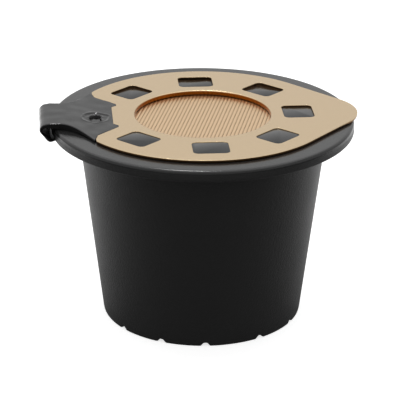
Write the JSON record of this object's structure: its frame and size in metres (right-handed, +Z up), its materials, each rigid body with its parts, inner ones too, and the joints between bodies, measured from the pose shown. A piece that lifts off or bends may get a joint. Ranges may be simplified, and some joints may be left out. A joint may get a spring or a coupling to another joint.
{
  "type": "refillable coffee capsule",
  "caption": "Tapered flanged cup for ground coffee, with a folding lid on a film hinge that carries a slotted metal sheet and a fine round filter.",
  "frame": {"origin": "middle of the foot ring, in the plane it stands on", "axes": "+Z up the cup's axis to the lid, +X towards the lid's finger tip, -X towards the hinge"},
  "size_m": [0.039, 0.037, 0.0259],
  "materials": {
    "black_plastic": "fine satin moulding texture",
    "gold_sheet": "satin gold-coloured steel",
    "gold_filter": "gold-coloured steel, finely perforated"
  },
  "bodies": {
    "cup": {"cup": "black_plastic"},
    "lid": {"lid_ring": "black_plastic", "lid_sheet": "gold_sheet", "filter_disc": "gold_filter"}
  },
  "joints": [
    {"name": "lid_hinge", "type": "hinge", "parent": "cup", "child": "lid", "pos_m": [-0.01975, 0, 0.02494], "axis": [0, -1, 0], "range_deg": [0, 170]}
  ]
}
